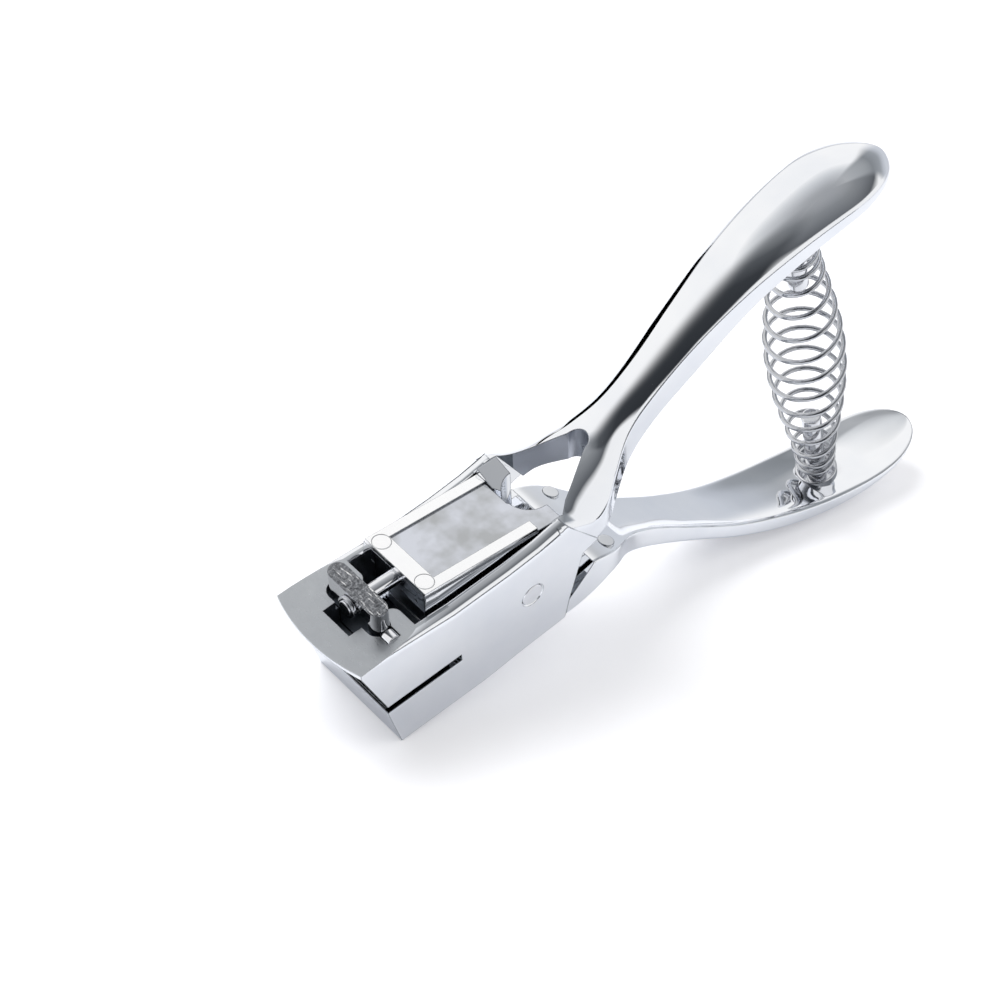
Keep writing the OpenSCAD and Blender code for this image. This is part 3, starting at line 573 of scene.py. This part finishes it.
def in_window(centre, normal):
    upright = abs(normal.z) < 0.05
    inward = normal.x < 0.5 and normal.y * centre.y < 0.01
    return 51 < centre.x < 67 and abs(centre.y) < 9 and upright and inward


def on_window_corner(centre, normal):
    """The two slanting faces at the front corners of the window."""
    upright = abs(normal.z) < 0.05
    return 51 < centre.x < 54.2 and 7.5 < abs(centre.y) < 9.65 and upright and -0.9 < normal.x < -0.3


def frame_casting():
    body = combine(frame_body(), upper_fork(), operation="UNION")
    combine(body, *frame_cutters())
    satin, painted_shade, window_shade = 1, 2, 3
    finish_faces(body, satin, on_head_top)
    # painted shade: the recesses here and the window's slanting corners below get the dark slate grey
    finish_faces(body, painted_shade, in_recess)
    # painted shade: the window's inner walls are greyer
    finish_faces(body, window_shade, in_window)
    finish_faces(body, painted_shade, on_window_corner)
    return smooth(body)


casting = finish_piece(frame_casting(), "frame_casting", "frame", ["frame"], "cast_chrome",
                       chrome, satin_chrome, recess_shade_chrome, window_shade_chrome)


# Lever casting


def lever_core():
    """Arms, crossbar and hub between the walls, with the round notch behind."""
    under = [(18, 11.6), (24, 8.6), (30, 3), (36, -3.2), (43, -8.5)]
    core = side_plate(under + [(49.7, -10.2), (56, -6), (56, 14), (52, 17), (44, 20), (18.2, 20.6)], CORE_W)
    above, ahead = placed(ON_ARMS, block(-60, 60, -30, 30, 13.4, RUN_OUT), block(-40, -24.8, -30, 30, -10, 30))
    behind = side_plate([(34.3, 45.6), (55.5, 8.8), (55.5, 1.4), (80, 1.4), (80, 45.6)], 30)
    centre, r = 51.0, 4.9
    arc = [math.pi / 2 + math.pi * i / 32 for i in range(33)]
    notch = tower([(60, r + 1.6)] + [(centre + r * math.cos(a), r * math.sin(a)) for a in arc] + [(60, -r - 1.6)],
                  1.2, RUN_OUT)
    combine(core, above, ahead, behind, notch)

    # behind the far arm the lever's top rises to the wall
    combine(core, block(45.8, 60, -0.3, 12, 1.6, RUN_OUT))
    rise = tower([(45.98, CORE_W), (45.98, 4.3), (47.1, 2.9), (51.05, 2.9), (51.05, CORE_W)], 0.9, 30)
    slope = extruded([(44, -2, 14.71), (44, 14, 19.67), (44, 14, RUN_OUT), (44, -2, RUN_OUT)], (10, 0, -0.7))
    combine(rise, slope, bar((centre, 0, -5), (centre, 0, RUN_OUT), 2 * r, 72))
    return combine(core, rise, operation="UNION")


def lower_neck():
    """Lower handle, neck and the flanks behind the side walls, cut to the V-shaped gap."""
    neck = handle(LOWER, -1, 44, 68.7, lambda x: 0.55)
    v_cut = side_plate([(49.2, -21), (49.2, -11), (50.3, -6.4), (57, -0.4), (57, 9.6), (30, 20), (30, -21)], 30)
    return combine(neck, v_cut)


def lever_cutters():
    """Seats of the U-shaped plate, its rivets, the drive pin and the spring post, and the pivot's bore."""
    cutters = list(placed(ON_ARMS, block(-30, -20.8, -12, 12, 12.85, RUN_OUT)))
    for side in (-1, 1):
        edges = sorted((side * 6.37, side * 12))
        arm_seat = block(-22, 2.93, *edges, 12.8, RUN_OUT)
        rivet = bar((-22.8, side * 6.25, 9.85), (-22.8, side * 6.25, 30), 3.8, 40)
        cutters += placed(ON_ARMS, arm_seat, rivet)
    cutters += placed(ON_ROD, bar((0, 0, -12), (0, 0, 20), ROD_D, 40))
    cutters.append(across(PIVOT_X, PIVOT_Z, 20, PIVOT_D + 0.1, 64))
    cutters += placed(ON_SPRING, bar((0, 0, -4.8), (0, 0, 1), POST_HOLE, 48), bar((0, 0, -2.4), (0, 0, 12), 9, 64))
    return cutters


def lever_casting():
    core = combine(lever_core(), lower_neck(), operation="UNION")
    for side in (-1, 1):  # ejector marks of the casting, level with the neck's top
        combine(core, bar((63.2, side * 8.2, -4.6), (63.75, side * 8.2, -3.25), 3.4, 40), operation="UNION")
    combine(core, *lever_cutters())
    up = ON_ARMS.to_3x3() @ Vector((0, 0, 1))

    def on_top(centre, normal):
        return normal @ up > 0.99 and 18 < centre.x < 60 and centre.z > 12

    unpolished = 1
    finish_faces(core, unpolished, on_top)
    return smooth(core)


lever = finish_piece(lever_casting(), "lever_casting", "lever", ["lever"], "cast_chrome", chrome, cast_chrome)


# Return spring


def return_spring():
    """One unbroken wire, close at both ends and wound wide in the middle, with its cut ends tucked in."""
    turns, wire, per_turn = 17, 1.1, 32
    end_d, middle_d = 8.6, 17.2

    def pitch(n):
        """Room for turn n, as a share of that of an end turn."""
        return 1 + 2 * ease((n - 0.5) / 2.8) * ease((turns - 3.5 - n) / 2.8)

    heights = [0]
    for i in range(turns * per_turn):
        heights.append(heights[-1] + pitch((i + 0.5) / per_turn))
    room = SPRING_L - 3 * wire
    path = []
    for i, h in enumerate(heights):
        share, a = h / heights[-1], 2 * math.pi * i / per_turn
        r = (mix(end_d, middle_d, abs(math.sin(math.pi * share)) ** 1.5) - wire) / 2
        path.append((r * math.cos(a), r * math.sin(a), wire * 1.5 + share * room))
    foot, head = path[0], path[-1]
    path.insert(0, (foot[0], -0.4, wire * 1.1))
    path.insert(0, (foot[0], 0, wire * 0.52))
    path += [(head[0], 0.4, head[2] + wire * 0.5), (head[0], 0.8, head[2] + wire * 0.95)]
    alone()
    bpy.ops.curve.primitive_nurbs_path_add()
    curve = bpy.context.object
    curve.data.splines.clear()
    spline = curve.data.splines.new("POLY")
    spline.points.add(len(path) - 1)
    for point, place in zip(spline.points, path):
        point.co = (*place, 1)
    curve.data.bevel_depth, curve.data.bevel_resolution, curve.data.use_fill_caps = wire / 2, 4, True
    alone(curve)
    bpy.ops.object.convert(target="MESH")
    coil = bpy.context.object
    coil.data.transform(ON_SPRING)
    return smooth(coil, 50)


spring = finish_piece(return_spring(), "return_spring_wire", None, ["return_spring"], "spring_steel", wire_steel)
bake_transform(spring)


# Small turned and stamped parts, from their CAD solids with softened edges


def softened(node, body, slot, width, *materials):
    """A copy of a node's solid with its edges taken off by width."""
    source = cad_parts[node]
    obj = bpy.data.objects.new(node + "_finished", source.data.copy())
    bpy.context.scene.collection.objects.link(obj)
    alone(obj)
    bpy.ops.object.mode_set(mode="EDIT")
    bpy.ops.mesh.select_all(action="SELECT")
    bpy.ops.mesh.remove_doubles(threshold=1e-6)
    bpy.ops.mesh.dissolve_limited(angle_limit=math.radians(0.5))
    bpy.ops.object.mode_set(mode="OBJECT")
    modifier = obj.modifiers.new("soften", "BEVEL")
    modifier.width, modifier.segments, modifier.limit_method = width, 2, "ANGLE"
    modifier.angle_limit = math.radians(30)
    bpy.ops.object.modifier_apply(modifier=modifier.name)
    smooth(obj, 35)
    obj.data.materials.clear()
    for material in materials:
        obj.data.materials.append(material)
    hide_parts(node)
    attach(obj, body)
    return obj


SMALL_PARTS = [
    ("upper_spring_post", "frame", "pin_steel", 0.0004, pin_steel),
    ("upper_spring_seat", "frame", "pin_steel", 0.00015, pin_steel),
    ("die_plate", "frame", "tool_steel", 0.0001, tool_steel),
    ("die_screws", "frame", "pin_steel", 0.00015, pin_steel),
    ("guide_pin", "frame", "pin_steel", 0.00015, pin_steel),
    ("pivot_pin", "frame", "pin_steel", 0.0002, pin_steel),
    ("pivot_washers", "frame", "pin_steel", 0.00005, pin_steel),
    ("lever_plate", "lever", "plate_steel", 0.0001, plate_steel),
    ("plate_rivets", "lever", "plate_steel", 0.00015, plate_steel),
    ("drive_pin", "lever", "pin_steel", 0.00025, pin_steel),
    ("drive_pin_ring", "lever", "spring_steel", 0.0001, wire_steel),
    ("lower_spring_post", "lever", "pin_steel", 0.0004, pin_steel),
    ("lower_spring_collar", "lever", "pin_steel", 0.0003, pin_steel),
]
for part in SMALL_PARTS:
    softened(*part)

cutter = softened("punch", "punch", "tool_steel", 0.00012, tool_steel, punch_top)
upwards = (STAND.to_3x3() @ Vector((0, 0, 1))).normalized()
highest = max(v.co @ upwards for v in cutter.data.vertices)
for face in cutter.data.polygons:
    if highest - face.center @ upwards < 0.0002:
        face.material_index = 1


# Stage: a pale floor, soft light, a white room with a dark side as chrome shows it


def stage_floor():
    """Pale paper that keeps the tool's shadow and looks almost white to the camera."""
    material, tree = new_material("floor_paper")
    rays = add(tree, "ShaderNodeLightPath")
    lift = add(tree, "ShaderNodeMath", {0: rays.outputs["Is Camera Ray"], 1: 0.2}, operation="MULTIPLY")
    glow = add(tree, "ShaderNodeEmission", {"Color": (1, 1, 1, 1), "Strength": lift.outputs["Value"]})
    tint = add(tree, "ShaderNodeMix", {"Factor": rays.outputs["Is Glossy Ray"], "A": colour("#F3F3F6"),
                                       "B": colour("#F0F2F7")}, data_type="RGBA")
    paper = add(tree, "ShaderNodeBsdfDiffuse", {"Color": tint.outputs["Result"]})
    both = add(tree, "ShaderNodeAddShader", {0: glow.outputs["Emission"], 1: paper.outputs["BSDF"]})
    add(tree, "ShaderNodeOutputMaterial", {"Surface": both.outputs["Shader"]})
    alone()
    bpy.ops.mesh.primitive_circle_add(vertices=96, radius=4, fill_type="NGON")
    floor = bpy.context.object
    floor.name = "floor"
    floor.data.materials.append(material)


def flag(name, shade, corners):
    """A dark board that only reflections show."""
    material, tree = new_material(name + "_board")
    dark = add(tree, "ShaderNodeEmission", {"Color": colour(shade), "Strength": 1})
    add(tree, "ShaderNodeOutputMaterial", {"Surface": dark.outputs["Emission"]})
    alone()
    bpy.ops.mesh.primitive_plane_add(size=1)
    board = bpy.context.object
    board.name = name
    for vertex, place in zip(board.data.vertices, (corners[0], corners[1], corners[3], corners[2])):
        vertex.co = place
    board.data.materials.append(material)
    board.visible_camera = board.visible_diffuse = board.visible_shadow = board.visible_transmission = False


def sky(azimuth, elevation):
    """Direction to a point of the world, in degrees from +X and above the floor."""
    a, e = math.radians(azimuth), math.radians(elevation)
    return (math.cos(a) * math.cos(e), math.sin(a) * math.cos(e), math.sin(e))


def white_room():
    """White all round; a soft grey ceiling and a dark side room, which only reflections show."""
    world = bpy.data.worlds.new("white_room")
    bpy.context.scene.world = world
    world.use_nodes = True
    tree = world.node_tree
    tree.nodes.clear()
    look = add(tree, "ShaderNodeTexCoord").outputs["Generated"]
    level = add(tree, "ShaderNodeVectorMath", {0: look, 1: (1, 1, 0)}, operation="MULTIPLY")
    level = add(tree, "ShaderNodeVectorMath", {0: level.outputs["Vector"]}, operation="NORMALIZE").outputs["Vector"]

    def near(vector, direction, low, high):
        """0 to 1 as the direction comes closer."""
        dot = add(tree, "ShaderNodeVectorMath", {0: vector, 1: direction}, operation="DOT_PRODUCT")
        return add(tree, "ShaderNodeMapRange", {"Value": dot.outputs["Value"], "From Min": low, "From Max": high},
                   interpolation_type="SMOOTHSTEP").outputs["Result"]

    def times(a, b):
        return add(tree, "ShaderNodeMath", {0: a, 1: b}, operation="MULTIPLY").outputs["Value"]

    def over_with(base, factor, wall):
        """Lays a wall over what is there, by its factor."""
        laid = add(tree, "ShaderNodeMix", {"Factor": factor, "A": base, "B": wall}, data_type="RGBA")
        return laid.outputs["Result"]

    height = add(tree, "ShaderNodeSeparateXYZ", {"Vector": look}).outputs["Z"]

    def by_height(*stops):
        """Grey of a wall by its elevation in degrees."""
        ramp = add(tree, "ShaderNodeValToRGB", {"Fac": height})
        parts = ramp.color_ramp.elements
        while len(parts) < len(stops):
            parts.new(0.5)
        for part, (elevation, code) in zip(parts, stops):
            part.position, part.color = math.sin(math.radians(elevation)), colour(code)
        return ramp.outputs["Color"]

    back_wall = by_height((0, "#FFFFFF"), (54, "#FFFFFF"), (63, "#DCDEE0"), (74, "#BFC1C4"), (90, "#A6A8AB"))
    near_wall = by_height((0, "#FFFFFF"), (36, "#FAFAFA"), (44, "#5E6165"), (52, "#73767A"), (66, "#8B8E91"),
                          (90, "#A6A8AB"))
    left_wall = by_height((0, "#2A2D31"), (40, "#393C40"), (56, "#54575B"), (70, "#7F8285"), (90, "#A6A8AB"))
    right_wall = by_height((0, "#D2D6DD"), (16, "#D0D4DB"), (24, "#BFC3CA"), (31, "#9FA3A8"), (46, "#8A8E92"),
                           (60, "#A6A9AC"), (74, "#B4B6B9"), (90, "#A6A8AB"))
    shade = over_with(back_wall, near(level, sky(-45, 0), 0.3, 0.55), near_wall)
    shade = over_with(shade, near(level, sky(-108, 0), 0.88, 0.97), near_wall)
    shade = over_with(shade, near(level, sky(8, 0), 0.86, 0.95), right_wall)
    dark_side = times(near(level, sky(-118, 0), -0.1, 0.95), near(look, sky(165, 0), -0.03, 0.14))
    shade = over_with(shade, dark_side, left_wall)
    mirrored = add(tree, "ShaderNodeBackground", {"Color": shade, "Strength": 1})
    plain = add(tree, "ShaderNodeBackground", {"Color": (1, 1, 1, 1), "Strength": 0.6})
    seen = add(tree, "ShaderNodeBackground", {"Color": (1, 1, 1, 1), "Strength": 1})
    rays = add(tree, "ShaderNodeLightPath")
    first = add(tree, "ShaderNodeMixShader", {0: rays.outputs["Is Glossy Ray"], 1: plain.outputs[0],
                                              2: mirrored.outputs[0]})
    last = add(tree, "ShaderNodeMixShader", {0: rays.outputs["Is Camera Ray"], 1: first.outputs[0],
                                             2: seen.outputs[0]})
    add(tree, "ShaderNodeOutputWorld", {"Surface": last.outputs[0]})


def softbox(name, place, target, size, power):
    """A square area light, unseen in reflections: the white room is what the chrome shows."""
    light = bpy.data.lights.new(name, "AREA")
    light.energy, light.size = power, size
    lamp = bpy.data.objects.new(name, light)
    bpy.context.scene.collection.objects.link(lamp)
    lamp.location = place
    lamp.rotation_euler = (Vector(target) - Vector(place)).to_track_quat("-Z", "Y").to_euler()
    lamp.visible_glossy = False


def camera():
    """The photograph's view: 51.9 degrees above the level head, 38.4 degrees round from its nose."""
    azimuth, elevation, roll = (math.radians(a) for a in (-38.372, 51.856, -3.141))
    level = math.cos(elevation)
    back = Vector((math.sin(azimuth) * level, -math.cos(azimuth) * level, math.sin(elevation)))
    right = Vector((0, 0, 1)).cross(back).normalized()
    up = back.cross(right)
    turned = (right * math.cos(roll) + up * math.sin(roll), up * math.cos(roll) - right * math.sin(roll), back)
    axes = Matrix(turned).transposed().to_4x4()
    data = bpy.data.cameras.new("camera")
    data.lens, data.sensor_width, data.clip_start = 108.96, 36, 0.01
    obj = bpy.data.objects.new("camera", data)
    bpy.context.scene.collection.objects.link(obj)
    obj.matrix_world = Matrix.Translation(STAND @ Vector((-175.08, -277.08, 468.47))) @ (
        Matrix.Rotation(-REST_PITCH, 4, "Y") @ axes)
    bpy.context.scene.camera = obj


stage_floor()
flag("back_flag", "#000000", [(-0.06, 0.24, 0), (0.065, 0.24, 0), (0.065, 0.24, 0.068), (-0.06, 0.24, 0.068)])
flag("near_flag", "#4A4D51", [(-0.2, -0.3, 0), (0.25, -0.3, 0), (0.25, -0.3, 0.06), (-0.2, -0.3, 0.06)])
white_room()
softbox("key", (-0.35, 0.55, 0.95), (0.02, 0, 0), 0.7, 9)
softbox("fill", (0.5, -0.4, 0.9), (0.02, 0, 0), 0.8, 2)
camera()
bpy.context.scene.view_settings.view_transform = "Standard"
